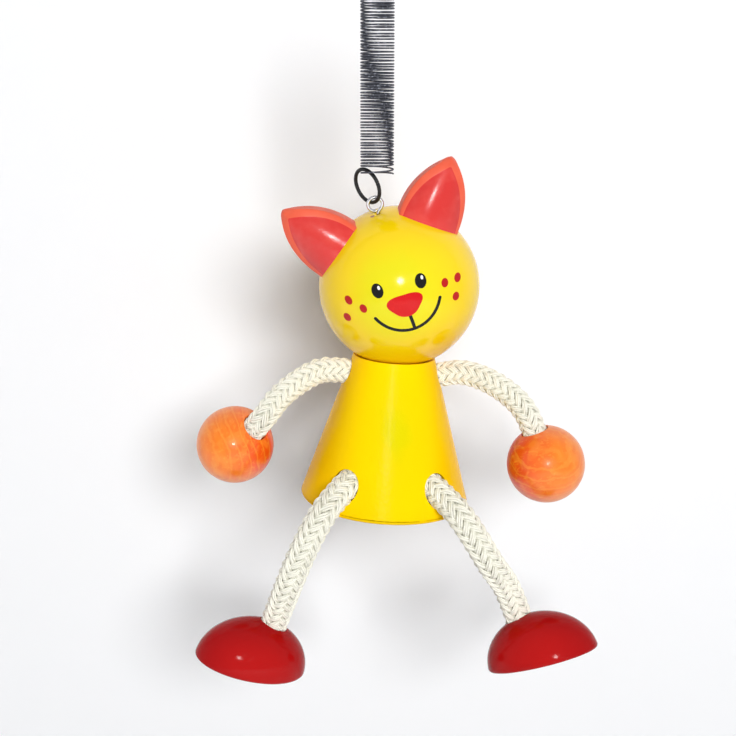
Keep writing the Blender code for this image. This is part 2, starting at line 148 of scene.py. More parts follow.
class Finish(Nodes):
    """A material: Blender's Principled shader and the nodes that feed it."""

    def __init__(self, name, slot, **shader_values):
        self.material = bpy.data.materials.new(name)
        self.material.use_nodes = True
        super().__init__(self.material.node_tree)
        self.slot = slot
        self.shader = self.tree.nodes["Principled BSDF"]
        self.feed(self.shader, shader_values)
        self.place = self.node("TexCoord", output="Object")

    def mix(self, share, first, second):
        return self.node("Mix", {"data_type": "RGBA"}, {0: share, 6: first, 7: second}, 2)

    def step(self, value, low, high):
        """0 below low, 1 above high, and smooth between."""
        settings = {"interpolation_type": "SMOOTHSTEP"}
        return self.node("MapRange", settings, {0: value, 1: low, 2: high})

    def noise(self, size, detail=2.0, place=None, distortion=0.0):
        """A cloudy pattern from 0 to 1, whose blots are about this size in metres."""
        sockets = {"Vector": place or self.place, "Scale": 1 / size, "Detail": detail}
        sockets["Distortion"] = distortion
        return self.node("TexNoise", {}, sockets)

    def turned(self, centre, axes, stretch=(1, 1, 1)):
        """The place measured from a centre along a piece's own axes."""
        settings = {"vector_type": "TEXTURE"}
        sockets = {"Location": centre, "Rotation": axes.to_euler(), "Scale": stretch}
        return self.node("Mapping", settings, {"Vector": self.place, **sockets})

    def part(self, place, axis):
        return self.node("SeparateXYZ", {}, {0: place}, axis)

    def distance(self, place, other):
        return self.node("VectorMath", {"operation": "DISTANCE"}, {0: place, 1: other}, "Value")

    def marked(self, name):
        """The piece's own attribute of this name."""
        return self.node("Attribute", {"attribute_name": name}, output="Fac")

    def surface(self, height=None, depth=0.0, **sockets):
        """Feeds the shader, and gives the surface a relief of this depth in metres."""
        self.feed(self.shader, sockets)
        if height:
            bump = self.node("Bump", {}, {"Height": height, "Distance": depth})
            self.feed(self.shader, {"Normal": bump})


def mesh_of(name, bm):
    mesh = bpy.data.meshes.new(name)
    bm.to_mesh(mesh)
    bm.free()
    return mesh


def finished(name, bm, finish, matrix):
    """A smooth shaded piece from a bmesh, with its place in its mesh."""
    bm.transform(matrix)
    bmesh.ops.remove_doubles(bm, verts=bm.verts, dist=WELD)
    bmesh.ops.recalc_face_normals(bm, faces=bm.faces)
    mesh = mesh_of(name, bm)
    mesh.shade_smooth()
    mesh.set_sharp_from_angle(angle=SHARP)
    return add_piece(name, mesh, finish)


def add_piece(name, mesh, finish):
    mesh.materials.clear()
    mesh.materials.append(finish.material)
    piece = new_object(name, mesh)
    return piece


def axes_of(side, up):
    """A turn whose X is side and whose Z is up."""
    return Matrix((side, up.cross(side), up)).transposed()


def spin_about_z(bm, angle, steps):
    """Spins all that the bmesh holds, and closes a full turn."""
    bmesh.ops.spin(
        bm,
        geom=bm.verts[:] + bm.edges[:],
        cent=(0, 0, 0),
        axis=(0, 0, 1),
        angle=angle,
        steps=steps,
        use_merge=angle == 2 * pi,
    )


def wire_ring(name, centre, axes, wire, finish):
    bm = bmesh.new()
    section = Matrix.Translation((RING_RADIUS, 0, 0)) @ Matrix.Rotation(pi / 2, 4, "X")
    bmesh.ops.create_circle(bm, segments=WIRE_SIDES, radius=wire / 2, matrix=section)
    spin_about_z(bm, 2 * pi - RING_JOINT / RING_RADIUS, RING_STEPS)
    bmesh.ops.holes_fill(bm, edges=[edge for edge in bm.edges if edge.is_boundary])
    place = Matrix.Translation(centre) @ axes.to_4x4() @ Matrix.Rotation(pi / 2, 4, "X")
    return finished(name, bm, finish, place)


black = Finish("black_wire", "black_wire", Specular_IOR_Level=0.3)
rubbed = black.step(black.noise(0.0012, 4.0), 0.52, 0.75)
black.surface(
    black.noise(0.0003, 3.0),
    0.00001,
    Base_Color=black.mix(rubbed, BLACK, BLACK_RUBBED),
    Roughness=0.3 + 0.25 * black.noise(0.0006),
    Metallic=0.4 * rubbed,
)

hang_point = Vector((0, 0, 0))
up = Vector((0, 0, 1))
ring_inner = RING_RADIUS - RING_WIRE / 2
wire_way = Vector((-sin(HOOK_ANGLE), cos(HOOK_ANGLE), 0))
hanging_centre = hang_point - up * ring_inner
hanging_axes = axes_of(wire_way.cross(up), up)
hanging_ring = wire_ring("hanging_wire_ring", hanging_centre, hanging_axes, RING_WIRE, black)
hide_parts("hanging_ring")
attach(hanging_ring, "hanger")


# Coil spring
# An open wound spring of hard drawn steel wire, dark from tempering. Its last turns open to let
# the rings in.
SPRING_WIRE = 0.00046
SPRING_CAD_WIRE = 0.00035
SPRING_RADIUS = 0.00427  # to the middle of the wire
SPRING_PITCH = 0.000765
SPRING_TURNS = 57
SPRING_TAIL = 0.45  # turns past each hook point
TAIL_RISE = 0.0001
UNEVEN = 0.00009  # how much the pitch wanders, as in any cheap spring
UNEVEN_TURNS = 1.9
SPRING_STEPS = 30  # for each turn
CLEARANCE = 0.0003
WIRE_ROUNDNESS = 2
TEMPERED = (0.045, 0.047, 0.06, 1)
# painted glints: bright specks of colour standing in for highlights on the wire
TEMPERED_PAINTED_GLINT = (0.34, 0.36, 0.42, 1)


def swept(name, lines, radius, finish, roundness=WIRE_ROUNDNESS, raised=None):
    """A round wire or yarn along each line of points, as one mesh. How far raised each point is
    can go with it, for the painted shade in its hollows and the painted light on its tops."""
    curve = bpy.data.curves.new(name, "CURVE")
    curve.dimensions = "3D"
    curve.bevel_depth = radius
    curve.bevel_resolution = roundness
    curve.use_fill_caps = True
    for line in lines:
        spline = curve.splines.new("POLY")
        spline.points.add(len(line) - 1)
        for knot, point in zip(spline.points, line):
            knot.co = (*point, 1)
        spline.use_smooth = True
    guide = bpy.data.objects.new(name + "_guide", curve)
    mesh = bpy.data.meshes.new_from_object(guide)
    bpy.data.objects.remove(guide)
    mesh.name = name
    if raised:
        around = len(mesh.vertices) // (len(raised) + 2 * len(lines))
        values = [0.0] * (2 * len(lines) * around)  # the lines' end faces come first
        values += [value for value in raised for _ in range(around)]
        mesh.attributes.new("raised", "FLOAT", "POINT").data.foreach_set("value", values)
    return add_piece(name, mesh, finish)


hook_offset = ring_inner - SPRING_CAD_WIRE / 2 - CLEARANCE
open_pitch = SPRING_CAD_WIRE + RING_WIRE + 2 * CLEARANCE
spring_length = 2 * open_pitch + SPRING_TURNS * SPRING_PITCH
spring_end = joint_at("ring_swing")
hook_side = Vector((cos(HOOK_ANGLE), sin(HOOK_ANGLE), 0))


def spring_height(turn):
    """Height above the lower hook point, after this many turns from it."""
    last = SPRING_TURNS + 2
    if turn < 0:
        return TAIL_RISE * turn / SPRING_TAIL
    if turn > last:
        return spring_length + TAIL_RISE * (turn - last) / SPRING_TAIL
    opened = min(turn, 1) + max(0, turn - last + 1)
    return open_pitch * opened + SPRING_PITCH * max(0, min(turn, last - 1) - 1)


coil = []
for n in range(round((SPRING_TURNS + 2 + 2 * SPRING_TAIL) * SPRING_STEPS) + 1):
    turn = n / SPRING_STEPS - SPRING_TAIL
    angle = HOOK_ANGLE + 2 * pi * turn
    side = Vector((cos(angle), sin(angle), 0)) - hook_side
    inner = max(0, min(turn - 1, SPRING_TURNS + 1 - turn, 1))
    height = spring_height(turn) + UNEVEN * inner * sin(UNEVEN_TURNS * turn)
    coil.append(spring_end + side * SPRING_RADIUS + up * height)

spring_steel = Finish("tempered_spring_steel", "spring_steel", Metallic=0.7)
drawn = spring_steel.noise(0.0004, 2.0)
# Painted glints: bright specks in the wire's colour stand in for highlights.
glint = spring_steel.step(spring_steel.noise(0.0007, 3.0), 0.55, 0.7)
spring_steel.surface(
    drawn,
    0.000006,
    Base_Color=spring_steel.mix(glint * 0.8 + drawn * 0.2, TEMPERED, TEMPERED_PAINTED_GLINT),
    Roughness=0.5 + 0.2 * drawn,
)
spring = swept("coil_spring", [coil], SPRING_WIRE / 2, spring_steel)
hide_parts("spring")
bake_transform(spring)


# Link ring
# A jump ring like the first, of a little thicker wire, hangs in the spring's bottom turn. It leans
# towards the screw eye and carries it.
LINK_LEAN = radians(22.5)  # sideways lean of the ring
LINK_WIRE = 0.00105
LINK_TURN = radians(52.6)  # how far the ring turns out of the frontal plane

link_down = Vector((sin(LINK_LEAN), 0, -cos(LINK_LEAN)))
link_across = Vector((cos(LINK_LEAN), 0, sin(LINK_LEAN)))
link_side = link_across * cos(LINK_TURN) - Vector((0, 1, 0)) * sin(LINK_TURN)
link_centre = spring_end + link_down * hook_offset
link_axes = axes_of(link_side, -link_down)
link_ring = wire_ring("link_wire_ring", link_centre, link_axes, LINK_WIRE, black)
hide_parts("link_ring")
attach(link_ring, "link")


# Screw eye
# Bright zinc plated steel wire, bent round to a small eye on a screw that is turned into the
# crown of the head.
EYE_WIRE = 0.00095
EYE_RADIUS = 0.001975  # to the middle of the wire
EYE_START = radians(-58)
EYE_END = radians(262)
EYE_STEPS = 64
EYE_ROUNDNESS = 4
SHANK_NECK = [(0, -0.0062), (0, -0.0035), (0.0001, -0.0028), (0.00042, -0.0022)]
HEAD_RADIUS = 0.0225
HEAD_ROLL = radians(-16.2)  # the crown leans to the viewer's left
HEAD_NOD = radians(14.5)  # the face looks down
ZINC = (0.58, 0.58, 0.60, 1)
ZINC_DULL = (0.34, 0.33, 0.33, 1)


def spread(start, end, steps):
    """Even values from start to end."""
    return [start + (end - start) * n / steps for n in range(steps + 1)]


head_centre = joint_at("neck_nod")
head_axes = Matrix.Rotation(HEAD_ROLL, 3, "Y") @ Matrix.Rotation(HEAD_NOD, 3, "X")
head_frame = Matrix.Translation(head_centre) @ head_axes.to_4x4()
eye_height = HEAD_RADIUS + CLEARANCE + EYE_RADIUS + EYE_WIRE / 2

eye_line = [Vector((x, 0, z + eye_height)) for x, z in SHANK_NECK]
for angle in spread(EYE_START, EYE_END, EYE_STEPS):
    eye_line.append(Vector((EYE_RADIUS * cos(angle), 0, eye_height + EYE_RADIUS * sin(angle))))

zinc = Finish("bright_zinc", "bright_steel", Metallic=1.0)
dull = zinc.step(zinc.noise(0.001, 4.0), 0.45, 0.7)
zinc.surface(
    zinc.noise(0.0002, 2.0),
    0.000004,
    Base_Color=zinc.mix(dull, ZINC, ZINC_DULL),
    Roughness=0.16 + 0.22 * dull,
)
eye_line = [head_frame @ point for point in eye_line]
screw_eye = swept("bent_screw_eye", [eye_line], EYE_WIRE / 2, zinc, EYE_ROUNDNESS)
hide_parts("screw_eye")
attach(screw_eye, "head")


# Head
# A turned beech ball under glossy yellow lacquer, chipped to bare wood beside the screw eye.
# Its colour holds painted light, lemon round the front, and painted shade, deeper orange at
# the sides and towards the underside.
BALL_STEPS = 128
BALL_ROWS = 80
EYE_HOLE = 0.0008
EYE_HOLE_DEPTH = 0.003
YELLOW = (0.95, 0.66, 0.001, 1)
# painted shade: deep orange at the sides and below; painted light: lemon round the lit front
PAINTED_SHADE_YELLOW = (0.93, 0.46, 0.001, 1)
PAINTED_LIGHT_LEMON = (0.79, 0.71, 0.002, 1)
HEAD_PAINTED_LIGHT = ((0, -0.021, 0.007), (1, 1, 1), (0.006, 0.019))
HEAD_PAINTED_SHADE = (-0.024, -0.002)
HEAD_GLOSS = (0.3, 0.1, 0.00002)
SIDE_PAINTED_SHADE = 0.45  # share of painted shade at the sides, far from the painted light
DRILL_POINT = 0.1  # share of a bore's radius that its floor is rounded by
LIP_BEND = 0.3  # where a lip's rounding bends, as a share of it
BARE_BEECH = (0.33, 0.10, 0.03, 1)
CHIP = (-0.0016, -0.0008)  # from the crown, sideways and forwards
CHIP_SIZE = 0.0009


def spun(outline):
    """A bmesh of an outline of (radius, height) points turned about Z."""
    bm = bmesh.new()
    points = [bm.verts.new((r, 0, z)) for r, z in outline]
    for pair in zip(points, points[1:]):
        bm.edges.new(pair)
    spin_about_z(bm, 2 * pi, BALL_STEPS)
    return bm


def bored_ball(radius, hole, depth, lip):
    """The outline of a ball with a blind hole at its top, whose lip is rounded by this much."""
    mouth = asin((hole + lip) / radius)
    top = radius * cos(mouth)
    floor = top - depth
    outline = [(0, floor), (hole * (1 - DRILL_POINT), floor), (hole, floor + hole * DRILL_POINT)]
    outline += [(hole, top - lip), (hole + lip * LIP_BEND, top - lip * LIP_BEND)]
    for angle in spread(mouth, pi, BALL_ROWS):
        outline.append((radius * sin(angle), radius * cos(angle)))
    return outline


def lacquer(name, slot, centre, axes, colours, rise, gloss, painted_light_at):
    """Coloured lacquer on turned wood, with painted light and painted shade in its colour. Its
    colours are the pale, the usual and the deep one. The pale one is painted light round a place on
    the lit front, (where, stretch, (near, far)). The deep one is painted shade, far from it and
    below rise, (low, high) along the piece's own Z. Gloss is (specular level, roughness, depth of
    the relief)."""
    level, rough, relief = gloss
    finish = Finish(name, slot, Specular_IOR_Level=level)
    own = finish.turned(centre, axes)
    pale, usual, deep = colours
    where, stretch, reach = painted_light_at
    cloud = finish.noise(0.012, 3.0)
    grain = finish.noise(0.0012, 3.0, finish.turned(centre, axes, (1, 1, 9)))
    # Painted shade: the deep colour gathers low on the piece and aside from the lit place. Painted
    # light: the pale colour lies round that place.
    low = 1 - finish.step(finish.part(own, 2) + cloud * 0.01 - 0.005, *rise)
    seen = finish.turned(centre, axes, stretch)
    away = finish.distance(seen, where)
    tone = finish.mix(1 - finish.step(away + cloud * 0.006 - 0.003, *reach), usual, pale)
    aside = finish.step(away, reach[1], 2.2 * reach[1]) * SIDE_PAINTED_SHADE
    tone = finish.mix(1 - (1 - low * (0.85 + 0.15 * grain)) * (1 - aside), tone, deep)
    finish.surface(
        grain * 0.35 + finish.noise(0.0011, 2.0) * 0.65,
        relief,
        Base_Color=tone,
        Roughness=rough + 0.08 * finish.noise(0.003, 3.0),
    )
    return finish, own, tone


yellow_head, own, tone = lacquer(
    "yellow_lacquer_head",
    "yellow_lacquer_head",
    head_centre,
    head_axes,
    (PAINTED_LIGHT_LEMON, YELLOW, PAINTED_SHADE_YELLOW),
    HEAD_PAINTED_SHADE,
    HEAD_GLOSS,
    HEAD_PAINTED_LIGHT,
)
from_chip = yellow_head.distance(own, (*CHIP, HEAD_RADIUS))
ragged = from_chip + 0.0008 * yellow_head.noise(0.0006, 3.0)
chip = 1 - yellow_head.step(ragged, CHIP_SIZE, CHIP_SIZE * 1.3)
yellow_head.surface(Base_Color=yellow_head.mix(chip, tone, BARE_BEECH))

head_outline = bored_ball(HEAD_RADIUS, EYE_HOLE, EYE_HOLE_DEPTH, EYE_HOLE * 0.2)
head = finished("turned_head_ball", spun(head_outline), yellow_head, head_frame)
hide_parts("head_ball")
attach(head, "head")


# Face
# It is printed on the ball in thin gloss paint: black eyes with a white glint, a red nose, a black
# smile and dark red freckles. Places are sideways and up from the middle of the ball.
EYES = {"left": (-0.0054, 0.0092), "right": (0.00623, 0.00861)}
EYE_SIZE = (0.00152, 0.00182)
GLINT_FROM_EYE = (0.00054, 0.00068)
GLINT_SIZE = (0.00036, 0.0005)
NOSE = (0.00075, 0.0042)
NOSE_SIZE = (0.0047, 0.00295)
NOSE_CORNERS = 0.11  # share by which the three corners stand out
SMILE_MIDDLE = (0.0009, 0.0069)
SMILE_RADIUS = 0.01
SMILE_ENDS = (radians(-154.5), radians(-23))
SMILE_STEPS = 48
NOSE_LINE = [(0.00108, 0.0015), (0.0012, 0.0), (0.0013, -0.0015), (0.00136, -0.003)]
STROKE = 0.00088
STROKE_STEP = 0.0005
STROKE_END_STEPS = 6
PATCH_SIDES = 48
PATCH_RINGS = 3
PATCH_RING = 0.25  # width of a ring, as a share of the patch's radius
FRECKLES = [(-0.01361, 0.00743), (-0.01034, 0.00522), (-0.0153, 0.00275)]
FRECKLES += [(0.01223, 0.00539), (0.01591, 0.00457), (0.01415, 0.00045)]
FRECKLE_SIZE = (0.00095, 0.00115)
PAINT = 0.00003  # how far a coat stands off what it lies on
PAINT_ROOT = 0.0001  # how far it reaches into the ball
INK_BLACK = (0.004, 0.004, 0.005, 1)
INK_WHITE = (0.9, 0.9, 0.88, 1)
INK_RED = (0.64, 0.005, 0.007, 1)
INK_DARK_RED = (0.48, 0.007, 0.008, 1)


def ink(name, colour, worn_colour):
    finish = Finish(name, "yellow_lacquer_head", Specular_IOR_Level=0.2)
    blot = finish.noise(0.0009, 3.0)
    finish.surface(
        blot,
        0.000004,
        Base_Color=finish.mix(finish.step(blot, 0.5, 0.8), colour, worn_colour),
        Roughness=0.12 + 0.1 * blot,
    )
    return finish


def print_on_ball(name, bm, coats, finish):
    """Lays a flat bmesh on the front of the ball: its X runs sideways and its Y up. Coats is how
    many coats of paint lie under and in it."""
    for v in bm.verts:
        reach = HEAD_RADIUS + PAINT * coats
        v.co = Vector((v.co.x, -sqrt(reach**2 - v.co.x**2 - v.co.y**2), v.co.y))
    bmesh.ops.recalc_face_normals(bm, faces=bm.faces)
    if sum(face.normal.y for face in bm.faces) > 0:
        bmesh.ops.reverse_faces(bm, faces=bm.faces)
    bmesh.ops.solidify(bm, geom=bm.faces[:], thickness=PAINT_ROOT)
    piece = finished(name, bm, finish, head_frame)
    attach(piece, "head")


def disc(place, size, shape=None):
    """A flat round patch, in rings, so that it can follow the ball. A shape gives the share of
    its size that it has at an angle."""
    bm = bmesh.new()
    bmesh.ops.create_circle(bm, cap_ends=True, segments=PATCH_SIDES, radius=1)
    for n in range(PATCH_RINGS):
        inner = max(bm.faces, key=lambda face: len(face.verts))
        bmesh.ops.inset_region(bm, faces=[inner], thickness=PATCH_RING, use_boundary=True)
    inner = max(bm.faces, key=lambda face: len(face.verts))
    bmesh.ops.poke(bm, faces=[inner])
    for v in bm.verts:
        share = shape(atan2(v.co.y, v.co.x)) if shape else 1
        v.co = Vector((place[0] + v.co.x * size[0] * share, place[1] + v.co.y * size[1] * share, 0))
    return bm


def stroke(points, width):
    """A flat ribbon along the points with round ends."""
    bm = bmesh.new()
    gone = [0]
    for a, b in zip(points, points[1:]):
        gone.append(gone[-1] + (b - a).length)
    row = []
    for n, point in enumerate(points):
        way = (points[min(n + 1, len(points) - 1)] - points[max(n - 1, 0)]).normalized()
        to_end = min(gone[n], gone[-1] - gone[n])
        short = max(0, 1 - 2 * to_end / width)
        half = width / 2 * sqrt(1 - short**2) + WELD * 10
        across = Vector((-way.y, way.x, 0)) * half
        ends = [bm.verts.new(point + across), bm.verts.new(point - across)]
        if row:
            bm.faces.new([row[0], row[1], ends[1], ends[0]])
        row = ends
    return bm


def along_line(points, step):
    """Even points along a line, closer near its ends so that they can be rounded."""
    found = []
    length = sum((b - a).length for a, b in zip(points, points[1:]))
    near = [STROKE / 2 * (1 - cos(angle)) for angle in spread(0, pi / 2, STROKE_END_STEPS)]
    count = round((length - STROKE) / step)
    middle = [STROKE / 2 + (length - STROKE) * n / count for n in range(1, count)]
    for wanted in near + middle + [length - gone for gone in reversed(near)]:
        left = wanted
        for a, b in zip(points, points[1:]):
            if left <= (b - a).length + WELD:
                break
            left -= (b - a).length
        found.append(a + (b - a).normalized() * left)
    return found


black_ink = ink("black_paint", INK_BLACK, (0.008, 0.008, 0.008, 1))
white_ink = ink("white_paint", INK_WHITE, (0.7, 0.68, 0.6, 1))
red_ink = ink("nose_red_paint", INK_RED, (0.68, 0.010, 0.010, 1))
freckle_ink = ink("freckle_paint", INK_DARK_RED, (0.52, 0.012, 0.009, 1))

for side_name, (x, z) in EYES.items():
    print_on_ball(side_name + "_eye_paint", disc((x, z), EYE_SIZE), 1, black_ink)
    glint_at = (x + GLINT_FROM_EYE[0], z + GLINT_FROM_EYE[1])
    print_on_ball(side_name + "_eye_glint", disc(glint_at, GLINT_SIZE), 2, white_ink)


def nose_shape(angle):
    return 1 + NOSE_CORNERS * cos(3 * (angle + pi / 2))


print_on_ball("nose_paint", disc(NOSE, NOSE_SIZE, nose_shape), 2, red_ink)
smile = []
for angle in spread(*SMILE_ENDS, SMILE_STEPS):
    place = Vector((*SMILE_MIDDLE, 0))
    smile.append(place + Vector((cos(angle), sin(angle), 0)) * SMILE_RADIUS)
smile = along_line(smile, STROKE_STEP)
print_on_ball("smile_paint", stroke(smile, STROKE), 1, black_ink)
nose_line = along_line([Vector((x, z, 0)) for x, z in NOSE_LINE], STROKE_STEP)
print_on_ball("nose_line_paint", stroke(nose_line, STROKE), 1.5, black_ink)
for n, place in enumerate(FRECKLES):
    print_on_ball(f"freckle_{n + 1}", disc(place, FRECKLE_SIZE), 1, freckle_ink)


# Ears
# Two pointed arches of beech. The back is flat and the front is turned to a cone, and the edges are
# chamfered. The chamfers and the sawn sides are lighter and more orange: the red lacquer lies thin
# on them, where the wood shows, and they carry painted sheen.
LEFT_EAR_SPREAD = radians(39.6)  # from the crown to the ear's middle
RIGHT_EAR_SPREAD = radians(36.8)
EAR_HALF_WIDTH = 0.0086
EAR_HEIGHT = 0.0170  # above the ball
EAR_BACK = 0.0029  # how far its flat back lies behind the middle of the ball
EAR_FRONT = 0.0065  # how far its rounded front stands before the middle, at the ball
EAR_LEAN = 0.0040  # how far the front would fall back to the tip, if it went straight on
EAR_BEND = 0.0030  # how much farther it falls back, because it curves
EAR_CONE = 0.0107  # radius that its front is turned to, at the ball
EAR_ROOT = 0.0032  # how deep it reaches into its seat
EAR_EDGE = 0.001
EAR_TIP = 0.0019  # radius of its rounded tip
EAR_TIP_EDGE = 0.0017  # how much wider the chamfer is at the tip
EAR_TIP_SLOPE = 0.35  # how fast the chamfer at the tip falls back
EAR_CROWDING = 1.6  # over 1, the rows lie closer towards the tip
TIP_SEARCH = 1e5  # steps in a metre
CHAMFER = [(0.1, 0.05, 1), (0.85, 0.75, 1), (1, 1, 1)]  # (across, back, sawn), as shares
BACK_ROUNDING = [(1, 1, 1), (0.9, 0.6, 1), (0.6, 0.2, 1), (0, 0, 0)]
EAR_ROWS = 48
EAR_FRONT_STEPS = 36
EAR_RED = (0.64, 0.022, 0.018, 1)
EAR_RED_LIGHT = (0.68, 0.045, 0.035, 1)
# thin lacquer over the wood on the edges, together with painted sheen
EAR_THIN_LACQUER_AND_SHEEN = (0.80, 0.125, 0.060, 1)

arch_radius = (EAR_HALF_WIDTH**2 + EAR_HEIGHT**2) / (2 * EAR_HALF_WIDTH)
arch_middle = arch_radius - EAR_HALF_WIDTH  # of the arch's circle, past the ear's own middle
tip_middle = sqrt((arch_radius - EAR_TIP) ** 2 - arch_middle**2)
tip_start = arch_radius * tip_middle / (arch_radius - EAR_TIP)
ear_tip = tip_middle + EAR_TIP


def ear_width(height):
    """Half the ear's width at a height above the ball."""
    if height > tip_start:
        return sqrt(max(0, EAR_TIP**2 - (height - tip_middle) ** 2))
    return sqrt(arch_radius**2 - max(0, height) ** 2) - arch_middle


def front_width(height):
    """Half the width of the front between its chamfers, which is 0 near the tip."""
    return max(0, ear_width(min(height + EAR_TIP_EDGE, ear_tip)) - EAR_EDGE)


steps_up = (n / TIP_SEARCH for n in range(round(ear_tip * TIP_SEARCH)))
front_top = max(height for height in steps_up if front_width(height) > 0)


def ear_section(height):
    """The ear's outline at a height above the ball, as (sideways, backwards, sawn) points round
    it from the front's left edge. Sawn is 1 where the lacquer lies thin and the painted edge sheen
    lies."""
    flat = front_width(height)
    edge = ear_width(height) - flat
    share = height / EAR_HEIGHT
    turned = EAR_CONE - EAR_LEAN * share - EAR_BEND * share * abs(share)
    points = []
    for n in range(EAR_FRONT_STEPS + 1):
        x = flat * (2 * n / EAR_FRONT_STEPS - 1)
        y = EAR_CONE - EAR_FRONT - sqrt(turned**2 - x**2)
        y += EAR_TIP_SLOPE * max(0, height - front_top)
        points.append((x, y, 1 if height > front_top else 0))
    right = [(flat + edge * across, y + EAR_EDGE * back, sawn) for across, back, sawn in CHAMFER]
    for across, back, sawn in BACK_ROUNDING:
        right.append((flat + edge * across, EAR_BACK - EAR_EDGE * back, sawn))
    return points + right + [(-x, y, sawn) for x, y, sawn in reversed(right)]


def make_ear(name, lean, finish):
    """Rolls a grid up into a tube of sections from the root to the tip, and closes its root."""
    sides = len(ear_section(0))
    bm = bmesh.new()
    sawn = bm.verts.layers.float.new("sawn")
    bmesh.ops.create_grid(bm, x_segments=sides, y_segments=EAR_ROWS, size=0.5)
    for v in bm.verts:
        column = round((v.co.x + 0.5) * sides) % sides
        height = (ear_tip + EAR_ROOT) * (1 - (0.5 - v.co.y) ** EAR_CROWDING) - EAR_ROOT
        x, y, v[sawn] = ear_section(height)[column]
        v.co = Vector((x, y, HEAD_RADIUS + height))
    bmesh.ops.remove_doubles(bm, verts=bm.verts, dist=WELD)
    bmesh.ops.holes_fill(bm, edges=[edge for edge in bm.edges if edge.is_boundary])
    ear = finished("sawn_" + name, bm, finish, head_frame @ Matrix.Rotation(lean, 4, "Y"))
    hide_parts(name)
    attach(ear, "head")


red_ears = Finish("red_lacquer_ears", "red_lacquer_ears")
cloud = red_ears.noise(0.005, 3.0)
grain = red_ears.noise(0.0008, 3.0, red_ears.turned(head_centre, head_axes, (4, 1, 1)))
thin = red_ears.marked("sawn")
face_red = red_ears.mix(red_ears.step(cloud, 0.4, 0.7), EAR_RED, EAR_RED_LIGHT)
# The chamfers and sawn sides are lighter and more orange: thin lacquer over the wood, and painted
# sheen on the edges.
red_ears.surface(
    grain * 0.6 + red_ears.noise(0.0005, 2.0) * 0.4,
    0.00003,
    Base_Color=red_ears.mix(thin * (0.6 + 0.5 * cloud), face_red, EAR_THIN_LACQUER_AND_SHEEN),
    Roughness=0.12 + 0.16 * grain + 0.3 * thin,
)
make_ear("left_ear", -LEFT_EAR_SPREAD, red_ears)
make_ear("right_ear", RIGHT_EAR_SPREAD, red_ears)


# Ear dowels
# A short beech pin joins each ear to the ball, out of sight in both. The pins are sound in the
# model as they are and only get their wood.
DOWEL_LIGHT = (0.62, 0.43, 0.26, 1)
DOWEL_DARK = (0.45, 0.28, 0.15, 1)

dowel_wood = Finish("beech_dowel", "beech_dowel")
fleck = dowel_wood.noise(0.0007, 4.0)
dowel_wood.surface(
    fleck,
    0.00002,
    Base_Color=dowel_wood.mix(fleck, DOWEL_LIGHT, DOWEL_DARK),
    Roughness=0.55 + 0.2 * fleck,
)
for name in ("left_ear_dowel", "right_ear_dowel"):
    frame["nodes"][name].data.materials.clear()
    frame["nodes"][name].data.materials.append(dowel_wood.material)


# Body
# A cone turned from beech under the same yellow lacquer. Its top is dished for the head, and
# slanting bores take the arms and the legs.
BODY_HEIGHT = 0.0424
RIM_RADIUS = 0.0112
RIM_WIDTH = 0.0004
BASE_RADIUS = 0.0245
BASE_EDGE = 0.001
BODY_ROLL = radians(3.8)
BODY_YAW = radians(3.75)
CORD_RADIUS = 0.0036
CORD_IN_BODY = 0.0075
SNUG = 0.0001  # room round a cord in its bore
ARM_FULL = 1.03  # how much fuller the braid is than a plain round cord
LEG_FULL = 1.12
SHOULDER_DROP = 0.0052  # below the rim
SHOULDER_TILT = radians(14)  # the inner end of the bore is the lower one
HIP_RISE = 0.0095  # above the base
HIP_DROP = 0.0011  # how much lower the leg sits in its bore's mouth, by its own weight
HIP_ANGLE = radians(36)  # from straight ahead
HIP_TILT = radians(-16)  # the inner end of the bore is the higher one
DISH_ROWS = 12
SIDE_ROWS = 40
EDGE_ROWS = 8
BASE_ROWS = 16
DRILL_SIDES = 64
# painted light: a dull lemon band down the lit front; painted shade: deep orange at the sides and
# base
PAINTED_LIGHT_DULL_LEMON = (0.75, 0.65, 0.002, 1)
BODY_PAINTED_LIGHT = ((0, -0.017, 0.0095), (1, 1, 2.4), (0.001, 0.009))
BODY_PAINTED_SHADE = (-0.03, 0.008)
BODY_GLOSS = (0.04, 0.2, 0.00009)

dish_radius = HEAD_RADIUS + CLEARANCE
rim_below = sqrt(dish_radius**2 - RIM_RADIUS**2)
body_axes = Matrix.Rotation(BODY_ROLL, 3, "Y") @ Matrix.Rotation(BODY_YAW, 3, "Z")
body_up = body_axes @ up
body_base = head_centre - body_up * (rim_below + BODY_HEIGHT)
body_frame = Matrix.Translation(body_base) @ body_axes.to_4x4()
side_slope = (BASE_RADIUS - RIM_RADIUS - RIM_WIDTH) / BODY_HEIGHT


def side_radius(height):
    """Radius of the cone's side at a height above the base."""
    return BASE_RADIUS - side_slope * height


def cone_outline():
    """The cone's outline as (radius, height), from the middle of its dish to that of its base."""
    sweep = asin(RIM_RADIUS / dish_radius)
    middle = BODY_HEIGHT + rim_below
    points = []
    for angle in spread(0, sweep, DISH_ROWS):
        points.append((dish_radius * sin(angle), middle - dish_radius * cos(angle)))
    for height in spread(BODY_HEIGHT, BASE_EDGE, SIDE_ROWS):
        points.append((side_radius(height), height))
    lean = atan(side_slope)
    centre = side_radius(BASE_EDGE) - BASE_EDGE / cos(lean)
    for angle in spread(lean, -pi / 2, EDGE_ROWS):
        points.append((centre + BASE_EDGE * cos(angle), BASE_EDGE + BASE_EDGE * sin(angle)))
    for n in range(1, BASE_ROWS + 1):
        points.append((centre * (1 - n / BASE_ROWS), 0))
    return points


